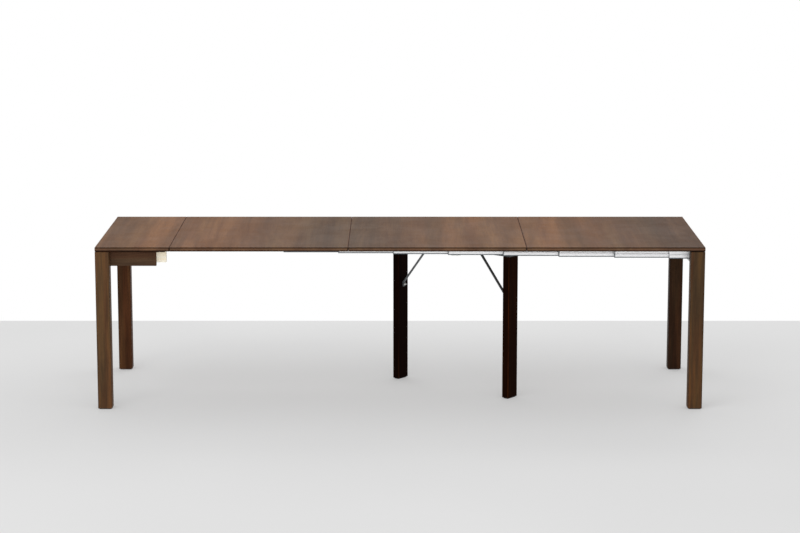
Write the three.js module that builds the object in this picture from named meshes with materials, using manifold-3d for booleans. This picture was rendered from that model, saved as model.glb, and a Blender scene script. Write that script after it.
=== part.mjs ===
// Extendable console table, drawn out to its full length, in millimetres.
// X runs along the table, Y from its front edge to its rear edge, Z up from the floor.
import * as THREE from "three";
import { mergeVertices } from "three/addons/utils/BufferGeometryUtils.js";
import Module from "manifold-3d";

const wasm = await Module();
wasm.setup();

// The whole table
const tableLength = 2800;
const tableDepth = 900;
const tableHeight = 762;
const closedLength = 342; // the end panel, and the depth of the console once it is shut
const leafCount = 3;

// Clearances
const seatGap = 0.3; // between two pieces that rest on or are screwed to each other
const seamGap = 1; // between neighbouring panels of the top
const slideGap = 0.4; // round the tongue of a rail in its slot
const swivelGap = 1; // between the turning trestle and the tie above it
const endGap = 2; // between the ends of the shut rails and the end boards
const cutOverrun = 5; // how far a cutter runs past the face it cuts
const joinOverlap = 0.5; // how far the parts of one piece run into each other

// The panels of the top
const topThickness = 19;
const topEdgeBevel = 1.2;
const battenWidth = 40;
const battenThickness = 3;
const battenInset = 70; // from a leaf's end to its batten
const subPlateInset = 3; // of the board under the end panel, from the panel's edges

// The four corner legs
const legWidth = 65;
const legEdgeRound = 3;
const glideThickness = 4;
const glideInset = 5;

// The boards between the legs
const boardThickness = 18;
const boardEdgeBevel = 0.8;
const apronHeight = 73;
const apronSetback = 50; // from the front of the leg to the face of the long apron
const linerThickness = 15.5;
const linerReach = 45; // how far the liner runs on past the end of the apron
const linerRise = 14; // of the liner's lower edge above the apron's

// The telescopic rails: one extrusion, with a slot on one side and a tongue on the other
const sectionCount = 10;
const railHeight = 45;
const railsSetback = 84.5; // from the table's edge to the face of the outermost rail
const railsApart = 143; // between the innermost anchor rails, across the middle of the table
const railCornerBevel = 1.2;
const slotMouth = 11;
const slotCavity = 19;
const slotLip = 3.5;
const slotDepth = 10.5;
const chamberWall = 2.4;
const rightTravel = 84; // of the first section in the anchor on the right frame
const leftTravel = 65.5; // of the left frame's anchor on the last section
const anchorLength = 136;
const gussetLength = 56;
const gussetDrop = 13;
const gussetWidth = 16;
const gussetSlope = 14;

// The tie across the fourth pair of rails, which carries the pivot
const tieSectionIndex = 4;
const tieThickness = 3;
const tieWidth = 46;
const tieHoleInset = 12;
const pivotInset = 36; // from the rail's end to the pivot
const pivotDiameter = 12;
const pivotHeadDiameter = 24;
const pivotHeadHeight = 6;
const nutHeight = 8;
const nutAcrossCorners = 22;
const roundSteps = 32;

// The trestle that turns on the pivot, its two legs and their braces
const trestleTurn = 39; // degrees that its beam stands off the length of the table
const trestleClearance = 16.2; // from its ends to the liners, once it has turned across the table
const trestleLegWidth = 72;
const trestleLegThickness = 36;
const beamWidth = 62;
const beamThickness = 10;
const beamEdgeRound = 4;
const braceWidth = 15;
const braceThickness = 4;
const braceReach = 159; // along the beam
const braceDrop = 199; // down the leg
const braceFoot = 22;
const braceTail = 26;
const screwDiameter = 5;
const knobDiameter = 13;
const knobThickness = 4;
const knobNeckDiameter = 9;
const knobNeckHeight = 4;
const knobWingSpan = 20;
const knobWingHeight = 9; // from the seat of the wings to their tips
const knobLobeDiameter = 5;
const knobWaist = 5; // height of the wings at their middle
const knobWingThickness = 3;

// Heights, worked out from the floor up and from the top down
const panelBase = tableHeight - topThickness;
const frameTop = panelBase - battenThickness;
const railTop = frameTop - seatGap;
const railBase = railTop - railHeight;
const tieTop = railBase - seatGap;
const tieBase = tieTop - tieThickness;
const beamTop = tieBase - swivelGap;
const beamBase = beamTop - beamThickness;
const trestleLegTop = beamBase - seatGap;
const legBase = glideThickness + seatGap;
const apronBase = frameTop - apronHeight;

// Lengths, worked out from the two ends of the table
const halfLength = tableLength / 2;
const halfDepth = tableDepth / 2;
const leafLength = (tableLength - closedLength) / leafCount;
const sectionLength = closedLength - 2 * (boardThickness + endGap);
const stages = sectionCount - 1;
const stageTravel = (tableLength - closedLength - rightTravel - leftTravel) / stages;
const firstSectionEnd = halfLength - boardThickness - endGap - rightTravel;
// the two trains of sections and their anchors fill the depth that the legs leave
const railPitch = (halfDepth - railsSetback - railsApart / 2) / (sectionCount + 2);
const railBody = railPitch - slideGap;
const linerBackSetback = apronSetback + boardThickness + seatGap + linerThickness;
const trestleHalf = halfDepth - linerBackSetback - trestleClearance;
const trestleReach = trestleHalf - trestleLegThickness / 2; // to the middle of each leg
const pivotX = sectionStart(tieSectionIndex) + pivotInset;

// The lower X of section n, counted from the right frame
function sectionStart(n) {
  return firstSectionEnd - sectionLength - (n - 1) * stageTravel;
}

// The distance in from the table's edge to the face of section n
function sectionSetback(n) {
  return railsSetback + n * railPitch;
}

const finishes = {
  walnut: { color: 0x5a4334, roughness: 0.42, metalness: 0 },
  darkWalnut: { color: 0x3c2c23, roughness: 0.5, metalness: 0 },
  plywood: { color: 0xe6d7b4, roughness: 0.6, metalness: 0 },
  aluminium: { color: 0xd6d8da, roughness: 0.35, metalness: 0.9 },
  steel: { color: 0x8c9094, roughness: 0.4, metalness: 0.9 },
  plastic: { color: 0x2a2724, roughness: 0.6, metalness: 0 },
};

const table = new THREE.Group();

// A named mesh with its own material, added to a group
function piece(parent, name, geometry, finish) {
  const mesh = new THREE.Mesh(geometry, new THREE.MeshStandardMaterial(finishes[finish]));
  mesh.name = name;
  parent.add(mesh);
  return mesh;
}

// Position only, with shared vertices merged, as the solid kernel wants it
function toSolid(geometry) {
  const bare = geometry.clone();
  bare.deleteAttribute("normal");
  bare.deleteAttribute("uv");
  const merged = mergeVertices(bare);
  const mesh = new wasm.Mesh({
    numProp: 3,
    vertProperties: new Float32Array(merged.attributes.position.array),
    triVerts: new Uint32Array(merged.index.array),
  });
  return new wasm.Manifold(mesh);
}

function fromSolid(solid) {
  const mesh = solid.getMesh();
  const geometry = new THREE.BufferGeometry();
  geometry.setAttribute("position", new THREE.BufferAttribute(mesh.vertProperties, mesh.numProp));
  geometry.setIndex(new THREE.BufferAttribute(mesh.triVerts, 1));
  geometry.computeVertexNormals();
  return geometry;
}

// A geometry with cutters taken out of it
function cut(geometry, cutters) {
  let solid = toSolid(geometry);
  for (const cutter of cutters) {
    solid = solid.subtract(toSolid(cutter));
  }
  return fromSolid(solid);
}

// A geometry with others joined to it
function join(geometry, others) {
  let solid = toSolid(geometry);
  for (const other of others) {
    solid = solid.add(toSolid(other));
  }
  return fromSolid(solid);
}

// A box between two corners
function boxBetween(low, high) {
  const size = high.map((value, i) => value - low[i]);
  const geometry = new THREE.BoxGeometry(...size);
  geometry.translate(...high.map((value, i) => (value + low[i]) / 2));
  return geometry;
}

// A box between two corners whose edges all carry a small bevel
function bevelledBox(low, high, bevel) {
  const shape = new THREE.Shape();
  shape.moveTo(low[0] + bevel, low[1] + bevel);
  shape.lineTo(high[0] - bevel, low[1] + bevel);
  shape.lineTo(high[0] - bevel, high[1] - bevel);
  shape.lineTo(low[0] + bevel, high[1] - bevel);
  shape.closePath();
  const geometry = new THREE.ExtrudeGeometry(shape, {
    depth: high[2] - low[2] - 2 * bevel,
    bevelThickness: bevel,
    bevelSize: bevel,
    bevelSegments: 1,
  });
  geometry.translate(0, 0, low[2] + bevel);
  return geometry;
}

// A rectangle about the origin with rounded corners
function roundedRectangle(width, height, radius) {
  const x = width / 2;
  const y = height / 2;
  const shape = new THREE.Shape();
  shape.moveTo(radius - x, -y);
  shape.lineTo(x - radius, -y);
  shape.absarc(x - radius, radius - y, radius, -Math.PI / 2, 0);
  shape.lineTo(x, y - radius);
  shape.absarc(x - radius, y - radius, radius, 0, Math.PI / 2);
  shape.lineTo(radius - x, y);
  shape.absarc(radius - x, y - radius, radius, Math.PI / 2, Math.PI);
  shape.lineTo(-x, radius - y);
  shape.absarc(radius - x, radius - y, radius, Math.PI, (3 * Math.PI) / 2);
  return shape;
}

// A post about the Z axis from one height to another
function post(width, thickness, radius, base, top) {
  const geometry = new THREE.ExtrudeGeometry(roundedRectangle(width, thickness, radius), {
    depth: top - base,
    bevelEnabled: false,
    curveSegments: 4,
  });
  geometry.translate(0, 0, base);
  return geometry;
}

// A cylinder about the Z axis from one height to another
function upright(diameter, base, top, sides = roundSteps) {
  const geometry = new THREE.CylinderGeometry(diameter / 2, diameter / 2, top - base, sides);
  geometry.rotateX(Math.PI / 2);
  geometry.translate(0, 0, (base + top) / 2);
  return geometry;
}

// The outline of the rail extrusion: across from its slotted face, and up from its base
function railOutline() {
  const middle = railHeight / 2;
  const mouth = slotMouth / 2;
  const cavity = slotCavity / 2;
  const neck = mouth - slideGap;
  const head = cavity - slideGap;
  const headStart = railPitch + slotLip + slideGap;
  const headEnd = railPitch + slotDepth - slideGap;
  const b = railCornerBevel;
  const shape = new THREE.Shape();
  shape.moveTo(b, 0);
  shape.lineTo(railBody - b, 0);
  shape.lineTo(railBody, b);
  shape.lineTo(railBody, middle - neck);
  shape.lineTo(headStart, middle - neck);
  shape.lineTo(headStart, middle - head);
  shape.lineTo(headEnd, middle - head);
  shape.lineTo(headEnd, middle + head);
  shape.lineTo(headStart, middle + head);
  shape.lineTo(headStart, middle + neck);
  shape.lineTo(railBody, middle + neck);
  shape.lineTo(railBody, railHeight - b);
  shape.lineTo(railBody - b, railHeight);
  shape.lineTo(b, railHeight);
  shape.lineTo(0, railHeight - b);
  shape.lineTo(0, middle + mouth);
  shape.lineTo(slotLip, middle + mouth);
  shape.lineTo(slotLip, middle + cavity);
  shape.lineTo(slotDepth, middle + cavity);
  shape.lineTo(slotDepth, middle - cavity);
  shape.lineTo(slotLip, middle - cavity);
  shape.lineTo(slotLip, middle - mouth);
  shape.lineTo(0, middle - mouth);
  shape.lineTo(0, b);
  shape.closePath();
  const chamber = new THREE.Path();
  chamber.moveTo(slotDepth + chamberWall, chamberWall);
  chamber.lineTo(slotDepth + chamberWall, railHeight - chamberWall);
  chamber.lineTo(railBody - chamberWall, railHeight - chamberWall);
  chamber.lineTo(railBody - chamberWall, chamberWall);
  chamber.closePath();
  shape.holes.push(chamber);
  return shape;
}

// A length of rail whose slot faces the front edge, or the rear edge where side is 1
function railGeometry(startX, length, setback, side) {
  const geometry = new THREE.ExtrudeGeometry(railOutline(), {
    depth: length,
    bevelEnabled: false,
  });
  // the outline's across and up, and its depth, turned onto Y, Z and X
  geometry.rotateX(Math.PI / 2);
  geometry.rotateZ(Math.PI / 2);
  geometry.translate(startX, setback - halfDepth, railBase);
  if (side > 0) {
    geometry.rotateZ(Math.PI);
    geometry.translate(2 * startX + length, 0, 0);
  }
  return geometry;
}

const sides = [
  { name: "front", y: -1 },
  { name: "rear", y: 1 },
];

// The leaves: a panel with two battens glued under it, which stand on the rails
function leaf(n) {
  const start = closedLength - halfLength + (n - 1) * leafLength;
  const low = [start + seamGap, -halfDepth, panelBase];
  const high = [start + leafLength, halfDepth, tableHeight];
  const battenEnd = halfDepth - railsSetback;
  const battens = [low[0] + battenInset, high[0] - battenInset - battenWidth].map((x) =>
    boxBetween([x, -battenEnd, frameTop], [x + battenWidth, battenEnd, panelBase + joinOverlap]),
  );
  piece(table, `leaf_${n}`, join(bevelledBox(low, high, topEdgeBevel), battens), "walnut");
}

// The two corner legs of one end, with the glides under them
function cornerLegs(endName, x) {
  for (const side of sides) {
    const y = side.y * (halfDepth - legWidth / 2);
    const leg = post(legWidth, legWidth, legEdgeRound, legBase, frameTop - seatGap);
    piece(table, `${endName}_${side.name}_leg`, leg, "walnut").position.set(x, y, 0);
    const glideWidth = legWidth - 2 * glideInset;
    const glide = post(glideWidth, glideWidth, legEdgeRound, 0, glideThickness);
    piece(table, `${endName}_${side.name}_glide`, glide, "plastic").position.set(x, y, 0);
  }
}

// The board across one end, between the legs
function endApron(endName, low, high) {
  const y = halfDepth - legWidth - seatGap;
  const board = bevelledBox(
    [low, -y, apronBase],
    [high, y, frameTop - seatGap],
    boardEdgeBevel,
  );
  piece(table, `${endName}_end_apron`, board, "walnut");
}

// The short rails screwed to a frame, on which the telescopic rails run
function anchors(endName, startX, setback) {
  for (const side of sides) {
    const rail = railGeometry(startX, anchorLength, setback, side.y);
    piece(table, `${endName}_${side.name}_anchor_rail`, rail, "aluminium");
  }
}

// The left frame: end panel, board under it, legs, aprons, liners and anchor rails
function leftFrame() {
  const outer = -halfLength;
  const inner = outer + closedLength;
  piece(
    table,
    "left_top_panel",
    bevelledBox([outer, -halfDepth, panelBase], [inner, halfDepth, tableHeight], topEdgeBevel),
    "walnut",
  );
  piece(
    table,
    "left_sub_plate",
    boxBetween(
      [outer + subPlateInset, subPlateInset - halfDepth, frameTop],
      [inner - boardThickness - endGap, halfDepth - subPlateInset, panelBase - seatGap],
    ),
    "darkWalnut",
  );
  cornerLegs("left", outer + legWidth / 2);
  endApron("left", outer, outer + boardThickness);
  const apronStart = outer + legWidth + seatGap;
  const apronEnd = inner - legWidth - seatGap;
  for (const side of sides) {
    const face = side.y * (halfDepth - apronSetback);
    const back = face - side.y * boardThickness;
    const apron = bevelledBox(
      [apronStart, Math.min(face, back), apronBase],
      [apronEnd, Math.max(face, back), frameTop - seatGap],
      boardEdgeBevel,
    );
    piece(table, `left_${side.name}_apron`, apron, "walnut");
    const linerFace = back - side.y * seatGap;
    const linerBack = linerFace - side.y * linerThickness;
    const liner = bevelledBox(
      [apronStart, Math.min(linerFace, linerBack), apronBase + linerRise],
      [apronEnd + linerReach, Math.max(linerFace, linerBack), frameTop - seatGap],
      boardEdgeBevel,
    );
    piece(table, `left_${side.name}_liner`, liner, "plywood");
  }
  anchors("left", outer + boardThickness + seatGap, sectionSetback(sectionCount + 1));
}

// The right frame: legs, board between them, strip that the last leaf rests on, anchor rails
function rightFrame() {
  const outer = halfLength;
  cornerLegs("right", outer - legWidth / 2);
  endApron("right", outer - boardThickness, outer);
  piece(
    table,
    "right_top_strip",
    boxBetween(
      [outer - boardThickness + seatGap, subPlateInset - halfDepth, frameTop],
      [outer - subPlateInset, halfDepth - subPlateInset, panelBase - seatGap],
    ),
    "darkWalnut",
  );
  anchors("right", outer - boardThickness - seatGap - anchorLength, sectionSetback(0));
  // the gusset under each anchor rail, screwed to it and to the end board
  const shape = new THREE.Shape();
  shape.moveTo(-gussetLength, 0);
  shape.lineTo(gussetSlope - gussetLength, -gussetDrop);
  shape.lineTo(0, -gussetDrop);
  shape.lineTo(0, 0);
  shape.closePath();
  for (const side of sides) {
    const gusset = new THREE.ExtrudeGeometry(shape, { depth: gussetWidth, bevelEnabled: false });
    gusset.rotateX(Math.PI / 2);
    const face = side.y * (halfDepth - railsSetback);
    const nearest = side.y > 0 ? face : face + gussetWidth;
    gusset.translate(outer - boardThickness - seatGap, nearest, railBase - seatGap);
    piece(table, `right_${side.name}_gusset`, gusset, "aluminium");
  }
}

// The telescopic rails, a pair for each section
function sections() {
  for (let n = 1; n <= sectionCount; n += 1) {
    for (const side of sides) {
      const rail = railGeometry(sectionStart(n), sectionLength, sectionSetback(n), side.y);
      piece(table, `${side.name}_rail_${n}`, rail, "aluminium");
    }
  }
}

// The steel strip across one pair of rails, with the bolt on which the trestle turns
function pivot() {
  const reach = halfDepth - sectionSetback(tieSectionIndex);
  const strip = boxBetween(
    [pivotX - tieWidth / 2, -reach, tieBase],
    [pivotX + tieWidth / 2, reach, tieTop],
  );
  const holes = [upright(pivotDiameter + 2 * slideGap, tieBase - cutOverrun, tieTop + cutOverrun)];
  holes[0].translate(pivotX, 0, 0);
  for (const side of sides) {
    const hole = upright(screwDiameter, tieBase - cutOverrun, tieTop + cutOverrun);
    hole.translate(pivotX, side.y * (reach - tieHoleInset), 0);
    holes.push(hole);
  }
  piece(table, "pivot_tie", cut(strip, holes), "steel");
  const headBase = tieTop + seatGap;
  const nutTop = beamBase - swivelGap;
  const shank = upright(pivotDiameter, nutTop - nutHeight, headBase + joinOverlap);
  const head = upright(pivotHeadDiameter, headBase, headBase + pivotHeadHeight);
  const bolt = piece(table, "pivot_bolt", join(shank, [head]), "steel");
  bolt.position.set(pivotX, 0, 0);
  const blank = upright(nutAcrossCorners, nutTop - nutHeight, nutTop, 6);
  const bore = upright(
    pivotDiameter + 2 * seatGap,
    nutTop - nutHeight - cutOverrun,
    nutTop + cutOverrun,
  );
  piece(table, "pivot_nut", cut(blank, [bore]), "steel").position.set(pivotX, 0, 0);
}

// The side outline of a brace: foot on the leg, bend, slope, bend, tail under the beam
function braceOutline() {
  const lean = Math.atan2(braceReach, braceDrop);
  const t = braceThickness;
  // the mitre of each bend, measured along the strap's foot and tail
  const footMitre = t * Math.tan(lean / 2);
  const tailMitre = t * Math.tan((Math.PI / 2 - lean) / 2);
  const shape = new THREE.Shape();
  shape.moveTo(0, -braceDrop - braceFoot);
  shape.lineTo(t, -braceDrop - braceFoot);
  shape.lineTo(t, -braceDrop - footMitre);
  shape.lineTo(braceReach + tailMitre, -t);
  shape.lineTo(braceReach + braceTail, -t);
  shape.lineTo(braceReach + braceTail, 0);
  shape.lineTo(braceReach, 0);
  shape.lineTo(0, -braceDrop);
  shape.closePath();
  return shape;
}

// The outline of a knob's two wings: a lobe at each end and a waist between them
function wingOutline() {
  const lobe = knobLobeDiameter / 2;
  const x = knobWingSpan / 2 - lobe;
  const y = knobWingHeight - lobe;
  const shape = new THREE.Shape();
  shape.moveTo(0, 0);
  shape.lineTo(x, y - lobe);
  shape.absarc(x, y, lobe, -Math.PI / 2, Math.PI / 2);
  shape.lineTo(0, knobWaist);
  shape.lineTo(-x, y + lobe);
  shape.absarc(-x, y, lobe, Math.PI / 2, (3 * Math.PI) / 2);
  shape.closePath();
  return shape;
}

// The knob at the foot of a brace: a base, a neck and two wings, standing off the leg along X
function knobGeometry() {
  const neckTop = knobThickness + knobNeckHeight;
  const body = new THREE.LatheGeometry(
    [
      new THREE.Vector2(0, 0),
      new THREE.Vector2(knobDiameter / 2, 0),
      new THREE.Vector2(knobDiameter / 2, knobThickness),
      new THREE.Vector2(knobNeckDiameter / 2, neckTop),
      new THREE.Vector2(0, neckTop),
    ],
    roundSteps,
  );
  body.rotateX(Math.PI / 2);
  const wings = new THREE.ExtrudeGeometry(wingOutline(), {
    depth: knobWingThickness,
    bevelEnabled: false,
    curveSegments: 6,
  });
  wings.translate(0, knobThickness, -knobWingThickness / 2);
  wings.rotateX(Math.PI / 2);
  wings.rotateZ(Math.PI / 2);
  const knob = join(body, [wings]);
  knob.rotateY(Math.PI / 2);
  return knob;
}

// The trestle, drawn along X about the pivot and then turned as one group
function trestle() {
  const group = new THREE.Group();
  group.position.set(pivotX, 0, 0);
  group.rotation.z = -THREE.MathUtils.degToRad(trestleTurn);
  table.add(group);
  const beamLength = 2 * trestleReach + trestleLegThickness;
  const beam = post(beamLength, beamWidth, beamEdgeRound, beamBase, beamTop);
  const bore = upright(
    pivotDiameter + 2 * slideGap,
    beamBase - cutOverrun,
    beamTop + cutOverrun,
  );
  piece(group, "trestle_beam", cut(beam, [bore]), "aluminium");
  const ends = [
    { name: "front", turn: 0 },
    { name: "rear", turn: Math.PI },
  ];
  for (const end of ends) {
    const half = new THREE.Group();
    half.rotation.z = end.turn;
    group.add(half);
    const leg = post(
      trestleLegThickness,
      trestleLegWidth,
      legEdgeRound,
      legBase,
      trestleLegTop,
    );
    piece(half, `trestle_${end.name}_leg`, leg, "darkWalnut").position.x = trestleReach;
    const glide = post(
      trestleLegThickness - 2 * glideInset,
      trestleLegWidth - 2 * glideInset,
      legEdgeRound,
      0,
      glideThickness,
    );
    piece(half, `trestle_${end.name}_glide`, glide, "plastic").position.x = trestleReach;
    const inside = trestleReach - trestleLegThickness / 2 - seatGap;
    const brace = new THREE.ExtrudeGeometry(braceOutline(), {
      depth: braceWidth,
      bevelEnabled: false,
    });
    brace.rotateX(Math.PI / 2);
    brace.rotateZ(Math.PI);
    brace.translate(inside, -braceWidth / 2, beamBase - seatGap);
    piece(half, `trestle_${end.name}_brace`, brace, "steel");
    const knob = knobGeometry();
    knob.rotateZ(Math.PI);
    const knobHeight = beamBase - seatGap - braceDrop - braceFoot / 2;
    knob.translate(inside - braceThickness - seatGap, 0, knobHeight);
    piece(half, `trestle_${end.name}_knob`, knob, "steel");
  }
}

leftFrame();
rightFrame();
sections();
pivot();
trestle();
for (let n = 1; n <= leafCount; n += 1) {
  leaf(n);
}

export default table;
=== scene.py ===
"""Looks of the extendable console table, in metres: finishes, hardware, floor, light and camera."""

import math

import bmesh
import bpy
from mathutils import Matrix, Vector


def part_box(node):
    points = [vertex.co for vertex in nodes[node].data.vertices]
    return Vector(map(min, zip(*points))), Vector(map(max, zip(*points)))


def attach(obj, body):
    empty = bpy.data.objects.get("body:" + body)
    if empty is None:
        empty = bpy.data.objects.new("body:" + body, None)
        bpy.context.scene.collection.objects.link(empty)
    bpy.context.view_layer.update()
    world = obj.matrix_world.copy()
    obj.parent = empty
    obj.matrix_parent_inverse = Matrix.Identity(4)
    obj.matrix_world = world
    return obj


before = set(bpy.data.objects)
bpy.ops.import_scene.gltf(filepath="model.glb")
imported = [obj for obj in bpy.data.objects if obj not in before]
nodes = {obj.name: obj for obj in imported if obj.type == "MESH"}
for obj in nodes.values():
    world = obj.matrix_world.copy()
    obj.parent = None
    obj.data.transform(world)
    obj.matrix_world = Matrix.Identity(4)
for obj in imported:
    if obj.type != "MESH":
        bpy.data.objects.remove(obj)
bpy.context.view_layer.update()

MM = 0.001


def mm(value):
    return value * MM


# The photograph's camera. It looks down at the table, with no shift, so that other views stay in frame
IMAGE_WIDTH = 800
FOCAL_PIXELS = 2362
SENSOR_WIDTH = 36
CAMERA_PLACE = (0, -11.115, 2.600)
CAMERA_PITCH = math.radians(10.24)


def make_camera():
    data = bpy.data.cameras.new("camera")
    data.sensor_width = SENSOR_WIDTH
    data.lens = FOCAL_PIXELS / IMAGE_WIDTH * SENSOR_WIDTH
    camera = bpy.data.objects.new("camera", data)
    camera.location = CAMERA_PLACE
    camera.rotation_euler = (math.radians(90) - CAMERA_PITCH, 0, 0)
    bpy.context.scene.collection.objects.link(camera)
    bpy.context.scene.camera = camera


make_camera()


# Shader nodes, written short
class Shader:
    """One material's node tree. add() makes a node, and sets each input by a value or by a link."""

    def __init__(self, name, tree=None):
        if tree is None:
            self.material = bpy.data.materials.new(name)
            self.material.use_nodes = True
            tree = self.material.node_tree
        self.tree = tree
        self.tree.nodes.clear()

    def add(self, kind, inputs=None, **settings):
        node = self.tree.nodes.new("ShaderNode" + kind)
        for key, value in settings.items():
            setattr(node, key, value)
        for key, value in (inputs or {}).items():
            socket = node.inputs[key]
            if isinstance(value, bpy.types.NodeSocket):
                self.tree.links.new(value, socket)
            else:
                socket.default_value = value
        return node

    def math(self, operation, a, b=0.0, c=0.0):
        return self.add("Math", {0: a, 1: b, 2: c}, operation=operation).outputs[0]

    def spread(self, value, low, high, to_low=0.0, to_high=1.0):
        """A value between low and high, eased and spread over a new range."""
        given = {"Value": value, 1: low, 2: high, 3: to_low, 4: to_high}
        return self.add("MapRange", given, interpolation_type="SMOOTHSTEP").outputs[0]

    def mix(self, share, a, b, blend="MIX"):
        given = {0: share, 6: a, 7: b}
        return self.add("Mix", given, data_type="RGBA", blend_type=blend).outputs[2]

    def noise(self, vector, scale, detail=2.0, roughness=0.5, distortion=0.0):
        given = {
            "Vector": vector,
            "Scale": scale,
            "Detail": detail,
            "Roughness": roughness,
            "Distortion": distortion,
        }
        return self.add("TexNoise", given).outputs[0]

    def place(self, vector, offset=(0, 0, 0), scale=(1, 1, 1)):
        return self.add("Mapping", {"Vector": vector, "Location": offset, "Scale": scale}).outputs[0]

    def bump(self, height, depth, strength=1.0):
        given = {"Height": height, "Distance": depth, "Strength": strength}
        return self.add("Bump", given).outputs[0]

    def finish(self, **inputs):
        surface = self.add("BsdfPrincipled", {k.replace("_", " "): v for k, v in inputs.items()})
        self.add("OutputMaterial", {"Surface": surface.outputs[0]})
        return self.material


def rgb(red, green, blue):
    """A colour as it looks on a screen, from 0 to 255, turned to the linear values that shaders use."""

    def linear(c):
        c = c / 255
        return c / 12.92 if c <= 0.04045 else ((c + 0.055) / 1.055) ** 2.4

    return (linear(red), linear(green), linear(blue), 1)


# Walnut veneer. The grain runs along one axis of the table. Scales are in features to a metre
GRAIN_STRETCH = 0.07
FIBRE_STRETCH = 0.02
STREAK_SCALE = 150
FIBRE_SCALE = 420
PORE_SCALE = 1200
RING_COUNT = 95
RING_SHARE = 0.05
FIBRE_SHARE = 0.8
PORE_SHARE = 0.55
OLIVE = (0.94, 1.02, 1.02, 1)
REDDISH = (1.08, 0.98, 0.94, 1)
BLACK = (0, 0, 0, 1)
VENEER_SPECULAR = 0.03


def stretched(axis, share):
    return tuple(share if "xyz"[i] == axis else 1 for i in range(3))


def wood(
    name, axis, dark, middle, light, band_scale, seed, panel=None, level=1.0, streak=0.5, drifting=1.0
):
    """Veneer in three tones. panel adds to the colour, level is the sheen, drifting the change of hue."""
    s = Shader(name)
    coordinates = s.add("TexCoord")
    place = coordinates.outputs["Object"]
    normal = s.add("SeparateXYZ", {0: coordinates.outputs["Normal"]})
    offset = (seed * 1.7, seed * 2.3, seed * 0.9)
    grain = s.place(place, offset, stretched(axis, GRAIN_STRETCH))
    fibre = s.place(place, offset, stretched(axis, FIBRE_STRETCH))
    bands = s.noise(grain, band_scale, 3, 0.55, 0.3)
    figure = s.noise(grain, band_scale * 0.45, 2, 0.45, 0.6)
    rings = s.math("SINE", s.math("MULTIPLY", figure, RING_COUNT))
    streaks = s.noise(fibre, STREAK_SCALE, 4, 0.65)
    fibres = s.noise(fibre, FIBRE_SCALE, 4, 0.7)
    tone = s.math("MULTIPLY_ADD", rings, RING_SHARE, s.spread(bands, 0.3, 0.7, 0.2, 0.8))
    tone = s.math("MULTIPLY_ADD", s.math("SUBTRACT", streaks, 0.5), streak, tone)
    tone = s.math("MULTIPLY_ADD", s.math("SUBTRACT", fibres, 0.5), FIBRE_SHARE, tone)
    ramp = s.add("ValToRGB", {0: tone})
    ramp.color_ramp.elements[0].color = dark
    ramp.color_ramp.elements[1].color = light
    ramp.color_ramp.elements[0].position = 0.0
    ramp.color_ramp.elements[1].position = 1.0
    ramp.color_ramp.elements.new(0.5).color = middle
    colour = ramp.outputs[0]
    # hue drifts between olive and red from one band to the next
    drift = s.noise(grain, band_scale * 0.8, 1, 0.5)
    hue = s.mix(s.spread(drift, 0.38, 0.62), OLIVE, REDDISH)
    colour = s.mix(drifting, colour, hue, "MULTIPLY")
    pores = s.spread(s.noise(fibre, PORE_SCALE, 1, 0.5), 0.6, 0.7)
    colour = s.mix(s.math("MULTIPLY", pores, PORE_SHARE), colour, s.mix(0.4, dark, BLACK))
    if panel:
        colour = panel(s, place, normal, colour)
    # the arrises are a little darker: painted shade along the rounded edges
    across, along, up = [s.math("ABSOLUTE", normal.outputs[i]) for i in range(3)]
    sharpest = s.math("MAXIMUM", s.math("MAXIMUM", across, along), up)
    arris_shade = s.spread(sharpest, 0.8, 0.995, 0.85, 0.0)
    colour = s.mix(arris_shade, colour, s.mix(0.45, dark, BLACK))
    worn = s.noise(place, 6, 3, 0.6)
    rough = s.spread(worn, 0.3, 0.7, 0.48, 0.56)
    height = s.math("MULTIPLY_ADD", fibres, 0.4, s.math("MULTIPLY", pores, -1))
    return s.finish(
        Base_Color=colour,
        Roughness=rough,
        Specular_IOR_Level=VENEER_SPECULAR * level,
        Normal=s.bump(height, mm(0.05), 0.35),
    )


def give(names, material):
    for name in names:
        slots = nodes[name].data.materials
        slots.clear()
        slots.append(material)


# The leaves and their seams
TOP_THICKNESS = mm(19)
SEAM_GAP = mm(1)
EDGE_LINE_LIFT = mm(0.4)
GREY_TINT = (0.86, 0.93, 1.01, 1)
WARM_TINT = (1.48, 1.36, 1.20, 1)
EDGE_TINT = (1.05, 1.10, 1.24, 1)
# the dark of the painted shade on the edge band's arrises, and of the seams' notches
EDGE_SHADE_AND_NOTCH_COLOUR = rgb(17, 9, 5)
SEAM_COLOUR = rgb(94, 50, 22)
top_low, top_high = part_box("leaf_1")
edge_middle = top_high.z - TOP_THICKNESS / 2
leaf_length = top_high.x - top_low.x + SEAM_GAP
warm_seam = top_low.x - SEAM_GAP


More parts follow.
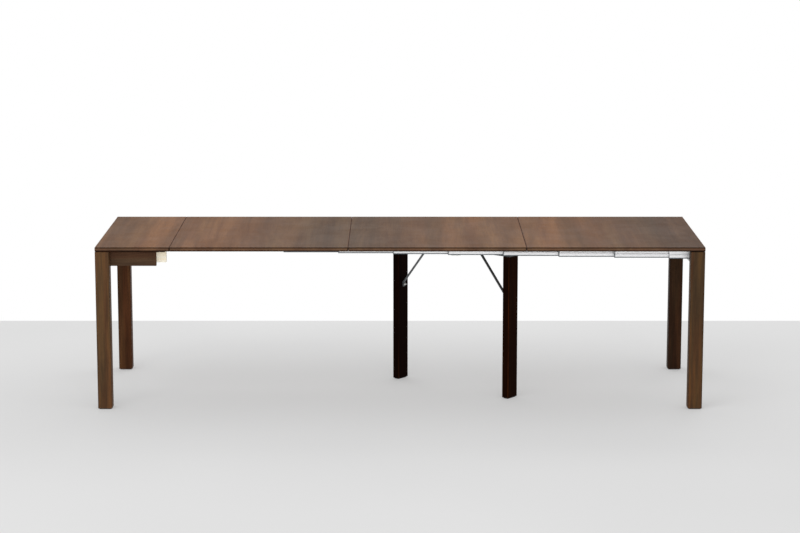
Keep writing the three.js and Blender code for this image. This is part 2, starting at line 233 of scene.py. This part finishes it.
def matched(s, place, normal, colour):
    """The leaves are matched: the veneer is warm at every other seam and greyer at the ones between."""
    at = s.add("SeparateXYZ", {0: place})
    turn = s.math("MULTIPLY", s.math("SUBTRACT", at.outputs[0], warm_seam), math.pi / leaf_length)
    warm = s.math("MULTIPLY_ADD", s.math("COSINE", turn), 0.5, 0.5)
    tint = s.mix(warm, GREY_TINT, WARM_TINT)
    flat = s.math("GREATER_THAN", s.math("ABSOLUTE", normal.outputs[2]), 0.5)
    colour = s.mix(1.0, colour, s.mix(flat, EDGE_TINT, tint), "MULTIPLY")
    # the edge band: painted shade, a dark line along each of its two arrises
    away = s.math("ABSOLUTE", s.math("SUBTRACT", at.outputs[2], edge_middle + EDGE_LINE_LIFT))
    line = s.spread(away, mm(3.7), mm(6.2), 0.0, 1.0)
    # a seam shows as a thin brown line on the top, and as a dark notch in the edge band
    to_seam = s.math("PINGPONG", s.math("SUBTRACT", at.outputs[0], warm_seam), leaf_length / 2)
    notch = s.spread(to_seam, mm(1.5), mm(5.0), 0.85, 0.0)
    side = s.math("SUBTRACT", 1.0, flat)
    lines = s.math("MULTIPLY", s.math("MAXIMUM", line, notch), side)
    colour = s.mix(lines, colour, EDGE_SHADE_AND_NOTCH_COLOUR)
    seam = s.spread(to_seam, mm(1.0), mm(4.5), 0.8, 0.0)
    return s.mix(s.math("MULTIPLY", seam, flat), colour, SEAM_COLOUR)


TOP_TONES = rgb(74, 52, 37), rgb(91, 65, 46), rgb(109, 80, 55)
LEG_TONES = rgb(60, 44, 32), rgb(86, 61, 40), rgb(108, 74, 42)
# painted shade: the right front, left rear and right rear legs are darker copies of the left front leg's
# walnut
SHADED_RIGHT_LEG_TONES = rgb(51, 37, 27), rgb(73, 52, 34), rgb(92, 63, 36)
SHADED_REAR_LEG_TONES = rgb(51, 31, 18), rgb(73, 45, 27), rgb(93, 60, 36)
DEEP_SHADED_LEG_TONES = rgb(34, 21, 13), rgb(50, 32, 20), rgb(66, 43, 26)
# painted shade: the aprons are a darker copy of the walnut, as in the shade under the top
SHADED_APRON_TONES = rgb(56, 40, 29), rgb(74, 53, 39), rgb(90, 66, 48)

for index, name in enumerate(["left_top_panel", "leaf_1", "leaf_2", "leaf_3"]):
    give([name], wood(name + "_veneer", "y", *TOP_TONES, 9, 3 + index, matched, 1.0, 0.5, 0.45))

leg_tones = {
    "left_front_leg": LEG_TONES,
    "left_rear_leg": SHADED_REAR_LEG_TONES,
    "right_front_leg": SHADED_RIGHT_LEG_TONES,
    "right_rear_leg": DEEP_SHADED_LEG_TONES,
}
for index, name in enumerate(leg_tones):
    tones = leg_tones[name]
    give([name], wood(name + "_veneer", "z", *tones, 36, 11 + index))

aprons = ["left_front_apron", "left_rear_apron"]
give(aprons, wood("apron_veneer", "x", *SHADED_APRON_TONES, 30, 21))
ends = ["left_end_apron", "right_end_apron"]
give(ends, wood("end_apron_veneer", "y", *SHADED_APRON_TONES, 30, 23))

# the trestle legs are a dark wood, darkened further by painted shade from under the top; the front leg's
# warmer, lighter copy is painted light
DARK_WOOD_AND_SHADE_TONES = rgb(16, 4, 1), rgb(32, 10, 2), rgb(54, 25, 6)
LIT_DARK_WOOD_TONES = rgb(24, 8, 2), rgb(50, 19, 4), rgb(78, 38, 10)
middle_legs = ["trestle_front_leg", "trestle_rear_leg"]
for index, name in enumerate(middle_legs):
    tones = LIT_DARK_WOOD_TONES if "front" in name else DARK_WOOD_AND_SHADE_TONES
    give([name], wood(name + "_veneer", "z", *tones, 36, 31 + index, None, 0.4))
# painted shade: the sub plate is near black, standing in for the shadow gap between top and legs; the top
# strip shares its tones
plates = ["left_sub_plate", "right_top_strip"]
give(plates, wood("sub_plate_veneer", "y", *DARK_WOOD_AND_SHADE_TONES, 20, 35, None, 0.6))


# Birch plywood of the liners: pale face, thin darker glue lines on the cut edges
PLY_THICKNESS = mm(3)


def plywood():
    s = Shader("birch_plywood")
    place = s.add("TexCoord").outputs["Object"]
    long = s.place(place, (0, 0, 0), (0.05, 1, 1))
    grain = s.noise(long, 60, 3, 0.6, 0.4)
    fibres = s.noise(s.place(place, (0, 0, 0), (0.02, 1, 1)), 700, 2, 0.6)
    tone = s.math("MULTIPLY_ADD", s.math("SUBTRACT", fibres, 0.5), 0.4, grain)
    colour = s.mix(s.spread(tone, 0.3, 0.75), rgb(246, 232, 204), rgb(255, 250, 234))
    depth = s.add("SeparateXYZ", {0: place}).outputs[1]
    plies = s.math("SINE", s.math("MULTIPLY", depth, 2 * math.pi / PLY_THICKNESS))
    colour = s.mix(s.spread(plies, 0.75, 1.0, 0.0, 0.3), colour, rgb(192, 160, 116))
    return s.finish(
        Base_Color=colour,
        Roughness=s.spread(grain, 0.3, 0.7, 0.6, 0.75),
        Specular_IOR_Level=0.3,
        Normal=s.bump(fibres, mm(0.04), 0.4),
    )


give(["left_front_liner", "left_rear_liner"], plywood())


# Metals. The rail sections are alike, one step apart along the table
rail_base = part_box("front_rail_1")[0].z
section_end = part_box("front_rail_1")[0].x
section_step = section_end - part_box("front_rail_2")[0].x
# the colour of the painted shade on the rails' lower lips and section ends
SECTION_SHADE_COLOUR = rgb(84, 90, 94)


def aluminium(name, lip=False, ends=False):
    """Extruded and anodised, with fine lines. A rail section has painted shade along its lower lip and at
    its end.
    """
    s = Shader(name)
    place = s.add("TexCoord").outputs["Object"]
    lines = s.noise(s.place(place, (0, 0, 0), (0.004, 1, 1)), 2200, 3, 0.6)
    cloud = s.noise(s.place(place, (0, 0, 0), (0.3, 1, 1)), 12, 1, 0.5)
    colour = s.mix(s.spread(cloud, 0.3, 0.7), (0.62, 0.62, 0.63, 1), (0.67, 0.67, 0.68, 1))
    colour = s.mix(s.spread(lines, 0.35, 0.65, 0.0, 0.05), colour, (0.58, 0.60, 0.62, 1))
    if lip:
        # painted shade: a dark band along the lower lip, and at each section's end
        at = s.add("SeparateXYZ", {0: place})
        bottom = s.spread(at.outputs[2], rail_base + mm(3.5), rail_base + mm(6.0), 0.95, 0.0)
        along = s.math("SUBTRACT", at.outputs[0], section_end)
        from_end = s.math("FLOORED_MODULO", along, section_step)
        end = s.spread(from_end, mm(2.5), mm(4.5), 0.8 if ends else 0.0, 0.0)
        colour = s.mix(s.math("MAXIMUM", bottom, end), colour, SECTION_SHADE_COLOUR)
    return s.finish(
        Base_Color=colour,
        Metallic=0.85,
        Roughness=s.spread(lines, 0.3, 0.7, 0.34, 0.46),
        Anisotropic=0.4,
        Normal=s.bump(lines, mm(0.02), 0.1),
    )


def steel(name, dark, light, metallic, rough):
    """Zinc-plated or coated steel, with a faint mottle."""
    s = Shader(name)
    place = s.add("TexCoord").outputs["Object"]
    mottle = s.noise(place, 260, 3, 0.6)
    scuffs = s.noise(s.place(place, (0, 0, 0), (1, 1, 0.2)), 900, 2, 0.5)
    colour = s.mix(s.spread(mottle, 0.3, 0.7), dark, light)
    return s.finish(
        Base_Color=colour,
        Metallic=metallic,
        Roughness=s.spread(scuffs, 0.3, 0.7, rough, rough + 0.12),
        Normal=s.bump(scuffs, mm(0.02), 0.2),
    )


def moulded(name, colour, light):
    """Moulded plastic with a fine eroded texture."""
    s = Shader(name)
    place = s.add("TexCoord").outputs["Object"]
    texture = s.noise(place, 1800, 2, 0.6)
    cloud = s.noise(place, 40, 2, 0.5)
    return s.finish(
        Base_Color=s.mix(s.spread(cloud, 0.3, 0.7), colour, light),
        Roughness=s.spread(texture, 0.3, 0.7, 0.5, 0.65),
        Normal=s.bump(texture, mm(0.05), 0.4),
    )


ALUMINIUM = aluminium("anodised_aluminium")
SECTION_ALUMINIUM = aluminium("anodised_sections", True, True)
ANCHOR_ALUMINIUM = aluminium("anodised_anchors", True)
COATED = steel("coated_steel", rgb(70, 73, 74), rgb(96, 99, 101), 0.35, 0.42)
ZINC = steel("zinc_plated_steel", rgb(176, 178, 176), rgb(214, 214, 210), 0.95, 0.28)
BLACK_PLASTIC = moulded("black_plastic", rgb(26, 24, 23), rgb(38, 36, 34))
GREY_PLASTIC = moulded("grey_plastic", rgb(96, 98, 100), rgb(120, 122, 124))

sections = [name for name in nodes if name.startswith(("front_rail_", "rear_rail_"))]
give(sections, SECTION_ALUMINIUM)
give([name for name in nodes if name.endswith("_anchor_rail")], ANCHOR_ALUMINIUM)
give([name for name in nodes if name.endswith("_gusset")], ALUMINIUM)
give(["trestle_beam"], COATED)
give(["trestle_front_brace", "trestle_rear_brace"], COATED)
give(["pivot_tie", "pivot_bolt", "pivot_nut", "trestle_front_knob", "trestle_rear_knob"], ZINC)
give([name for name in nodes if name.endswith("_glide")], BLACK_PLASTIC)


# Small hardware: turned from rings. A ring is a radius, or a function of the angle, and a height
RING_STEPS = 48


def turned(name, body, material, rings, centres, down=True):
    """One mesh of equal turned pieces, which stand on their centres and point down or up."""
    shape = bmesh.new()
    turn = -1 if down else 1
    for centre in centres:
        rows = []
        for radius, height in rings:
            row = []
            for step in range(RING_STEPS):
                angle = step * 2 * math.pi / RING_STEPS
                r = radius(angle) if callable(radius) else radius
                place = Vector((r * math.cos(angle), r * math.sin(angle) * turn, height * turn))
                row.append(shape.verts.new(place + Vector(centre)))
            rows.append(row)
        skin(shape, rows)
    return piece_of(shape, name, body, material)


def skin(shape, rows):
    """Faces from each closed row of points to the next, and one over each end."""
    for lower, upper in zip(rows, rows[1:]):
        for a in range(len(lower)):
            b = (a + 1) % len(lower)
            shape.faces.new((lower[a], lower[b], upper[b], upper[a]))
    shape.faces.new(list(reversed(rows[0])))
    shape.faces.new(rows[-1])


def piece_of(shape, name, body, material):
    bmesh.ops.recalc_face_normals(shape, faces=shape.faces)
    mesh = bpy.data.meshes.new(name)
    shape.to_mesh(mesh)
    shape.free()
    mesh.materials.append(material)
    piece = bpy.data.objects.new(name, mesh)
    bpy.context.scene.collection.objects.link(piece)
    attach(piece, body)
    return piece


def cross_recess(reach, half_width):
    """The radius of a cross-shaped recess at each angle."""

    def radius(angle):
        off = (angle + math.pi / 4) % (math.pi / 2) - math.pi / 4
        side = abs(math.sin(off))
        return min(reach / math.cos(off), half_width / side) if side > 0 else reach

    return radius


def screw_head(diameter, height):
    """A domed head with a cross recess, from its seat to the bottom of the recess."""
    r = diameter / 2
    recess = cross_recess(r * 0.56, r * 0.15)
    deeper = cross_recess(r * 0.44, r * 0.11)
    return [
        (r, 0),
        (r, height * 0.3),
        (r * 0.93, height * 0.66),
        (r * 0.78, height * 0.9),
        (r * 0.62, height),
        (recess, height),
        (deeper, height * 0.35),
    ]


SCREW_LIFT = mm(0.1)


def screws(name, body, centres, diameter, height):
    lifted = [(x, y, z - SCREW_LIFT) for x, y, z in centres]
    turned(name, body, ZINC, screw_head(diameter, height), lifted)


# three screws through each batten, between the two trains of rails
LEAVES = (1, 2, 3)
BATTEN_INSET = mm(90)
BATTEN_SCREWS_APART = mm(55)
BATTEN_SCREW = {"diameter": mm(8), "height": mm(1.4)}
batten_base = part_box("leaf_1")[0].z
for n in LEAVES:
    low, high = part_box(f"leaf_{n}")
    centres = []
    for x in (low.x + BATTEN_INSET, high.x - BATTEN_INSET):
        centres += [(x, y, batten_base) for y in (-BATTEN_SCREWS_APART, 0, BATTEN_SCREWS_APART)]
    screws(f"leaf_{n}_batten_screws", f"leaf_{n}", centres, **BATTEN_SCREW)

# a dark bead along the left edge of each leaf fills the seam below the surface: a dark part standing in
# for the shade in the gap
SHADE_BEAD_REACH = mm(0.85)
SHADE_BEAD_HALF_HEIGHT = mm(2)
SHADE_BEAD_DEPTH = mm(8)
SHADE_BEAD_END_INSET = mm(8)
SHADE_BEAD_STEPS = 8


def seam_shade_bead(n):
    """A half-round bead that runs along the leaf's edge, and just misses its neighbour."""
    low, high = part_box(f"leaf_{n}")
    centre = high.z - SHADE_BEAD_DEPTH
    outline = []
    for step in range(SHADE_BEAD_STEPS + 1):
        angle = math.pi * (step / SHADE_BEAD_STEPS - 0.5)
        out = SHADE_BEAD_REACH * math.cos(angle)
        up = SHADE_BEAD_HALF_HEIGHT * math.sin(angle)
        outline.append((low.x - out, centre + up))
    shape = bmesh.new()
    ends = (low.y + SHADE_BEAD_END_INSET, high.y - SHADE_BEAD_END_INSET)
    rows = [[shape.verts.new((x, y, z)) for x, z in outline] for y in ends]
    skin(shape, rows)
    piece_of(shape, f"leaf_{n}_seal", f"leaf_{n}", BLACK_PLASTIC)


for n in LEAVES:
    seam_shade_bead(n)

# two screws up through each gusset, off its middle, where the leg leaves room
GUSSET_SCREWS_APART = mm(18)
GUSSET_SCREWS_OFFSET = mm(7)
GUSSET_SCREW = {"diameter": mm(9), "height": mm(2.2)}
for side in ("front", "rear"):
    low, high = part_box(f"right_{side}_gusset")
    middle = (low.x + high.x) / 2 + GUSSET_SCREWS_OFFSET
    y = (low.y + high.y) / 2
    centres = [(middle + off, y, low.z) for off in (-GUSSET_SCREWS_APART / 2, GUSSET_SCREWS_APART / 2)]
    screws(f"right_{side}_gusset_screws", "right_frame", centres, **GUSSET_SCREW)

# a screw sunk in each hole of the tie
SUNK_SCREW_DIAMETER = mm(4.4)
SUNK_SCREW_HEIGHT = mm(2.2)
SUNK_SCREW_DEPTH = mm(0.2)
TIE_HOLE_INSET = mm(12)
low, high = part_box("pivot_tie")
middle = (low.x + high.x) / 2
for side, y in (("front", low.y + TIE_HOLE_INSET), ("rear", high.y - TIE_HOLE_INSET)):
    rings = screw_head(SUNK_SCREW_DIAMETER, SUNK_SCREW_HEIGHT)
    centres = [(middle, y, high.z - SUNK_SCREW_DEPTH)]
    turned(f"tie_{side}_screw", "rail_stage_4", ZINC, rings, centres)


# The rail sections' end caps: moulded plates that leave the slot open for the neighbour's tongue
CAP_THICKNESS = mm(1.2)
CAP_BEVEL = mm(1.2)
CAP_INSET = mm(0.15)
SLOT_LIP = mm(3.5)
SLOT_DEPTH = mm(10.5)
SLOT_MOUTH = mm(11)
SLOT_CAVITY = mm(19)
SLIDE_GAP = mm(0.4)


def cap_outline(width, height):
    """Across from the slotted face, and up from the base."""
    b = CAP_BEVEL
    i = CAP_INSET
    middle = height / 2
    mouth = SLOT_MOUTH / 2
    cavity = SLOT_CAVITY / 2
    upper = [
        (i, middle + mouth + i),
        (SLOT_LIP + i, middle + mouth + i),
        (SLOT_LIP + i, middle + cavity + i),
        (SLOT_DEPTH + i, middle + cavity + i),
    ]
    lower = [(across, height - up) for across, up in reversed(upper)]
    outer = [(i, b), (b, i), (width - b, i), (width - i, b)]
    outer += [(across, height - up) for across, up in reversed(outer)]
    return outer + upper + lower


def end_caps(side, n):
    low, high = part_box(f"{side}_rail_{n}")
    outline = cap_outline(rail_body_width, high.z - low.z)
    turn = 1 if side == "front" else -1
    face = low.y if side == "front" else high.y
    places = [(face + turn * across, low.z + up) for across, up in outline]
    shape = bmesh.new()
    for start, end in ((low.x - CAP_THICKNESS, low.x), (high.x, high.x + CAP_THICKNESS)):
        rows = [[shape.verts.new((x, y, z)) for y, z in places] for x in (start, end)]
        skin(shape, rows)
    piece_of(shape, f"{side}_rail_{n}_caps", f"rail_stage_{n}", GREY_PLASTIC)


rail_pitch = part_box("front_rail_2")[0].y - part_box("front_rail_1")[0].y
rail_body_width = rail_pitch - SLIDE_GAP
SECTION_COUNT = sum(name.startswith("front_rail_") for name in sections)
for n in range(1, SECTION_COUNT + 1):
    for side in ("front", "rear"):
        end_caps(side, n)


# The floor: pale, lifted a little where it is seen, and white past the line where the photograph's ends
FLOOR_END = 1.6
FLOOR_REACH = 14
FLOOR_FRONT = 7
FLOOR_GLOW = 0.75
FLOOR_GLOW_SHARE = 0.4


def make_floor():
    mesh = bpy.data.meshes.new("floor")
    r = FLOOR_REACH
    corners = [(-r, -FLOOR_FRONT, 0), (r, -FLOOR_FRONT, 0), (r, r, 0), (-r, r, 0)]
    mesh.from_pydata(corners, [], [(0, 1, 2, 3)])
    floor = bpy.data.objects.new("floor", mesh)
    bpy.context.scene.collection.objects.link(floor)
    s = Shader("pale_floor")
    place = s.add("TexCoord").outputs["Object"]
    beyond = s.math("GREATER_THAN", s.add("SeparateXYZ", {0: place}).outputs[1], FLOOR_END)
    cloud = s.noise(place, 0.8, 1, 0.5)
    colour = s.mix(s.spread(cloud, 0.3, 0.7), rgb(215, 215, 215), rgb(218, 218, 218))
    matt = s.add("BsdfDiffuse", {"Color": colour}).outputs[0]
    white = s.add("Emission", {"Color": (1, 1, 1, 1)}).outputs[0]
    glow = s.add("Emission", {"Color": (1, 1, 1, 1), "Strength": FLOOR_GLOW}).outputs[0]
    path = s.add("LightPath")
    seen = s.math("MAXIMUM", path.outputs["Is Camera Ray"], path.outputs["Is Glossy Ray"])
    lift = s.math("MULTIPLY", seen, FLOOR_GLOW_SHARE)
    lifted = s.add("MixShader", {0: lift, 1: matt, 2: glow}).outputs[0]
    share = s.math("MULTIPLY", beyond, seen)
    surface = s.add("MixShader", {0: share, 1: lifted, 2: white})
    s.add("OutputMaterial", {"Surface": surface.outputs[0]})
    mesh.materials.append(s.material)


make_floor()


# Light: a pale world, white where it is seen, and three soft lamps
AMBIENT = 0.78


def make_world():
    world = bpy.data.worlds.new("studio")
    world.use_nodes = True
    bpy.context.scene.world = world
    s = Shader("studio", world.node_tree)
    path = s.add("LightPath")
    seen = s.math("MAXIMUM", path.outputs["Is Camera Ray"], path.outputs["Is Glossy Ray"])
    seen = s.math("MAXIMUM", seen, path.outputs["Is Transmission Ray"])
    ambient = s.add("Background", {"Color": (1, 1, 1, 1), "Strength": AMBIENT}).outputs[0]
    white = s.add("Background", {"Color": (1, 1, 1, 1), "Strength": 1.0}).outputs[0]
    mixed = s.add("MixShader", {0: seen, 1: ambient, 2: white})
    s.add("OutputWorld", {"Surface": mixed.outputs[0]})


def lamp(name, place, target, width, height, power):
    data = bpy.data.lights.new(name, "AREA")
    data.shape = "RECTANGLE"
    data.size = width
    data.size_y = height
    data.energy = power
    light = bpy.data.objects.new(name, data)
    light.location = place
    direction = Vector(target) - Vector(place)
    light.rotation_euler = direction.to_track_quat("-Z", "Y").to_euler()
    light.visible_camera = False
    bpy.context.scene.collection.objects.link(light)


make_world()
lamp("key", (-2.6, -4.6, 5.4), (0, 0, 0.4), 4.0, 2.8, 95)
lamp("fill", (0.8, -13.0, 2.6), (0.2, 0, 0.5), 8.0, 4.0, 540)
lamp("back", (0.4, 2.6, 3.0), (0.2, 0, 0.7), 5.0, 1.5, 45)

bpy.context.scene.view_settings.view_transform = "Standard"
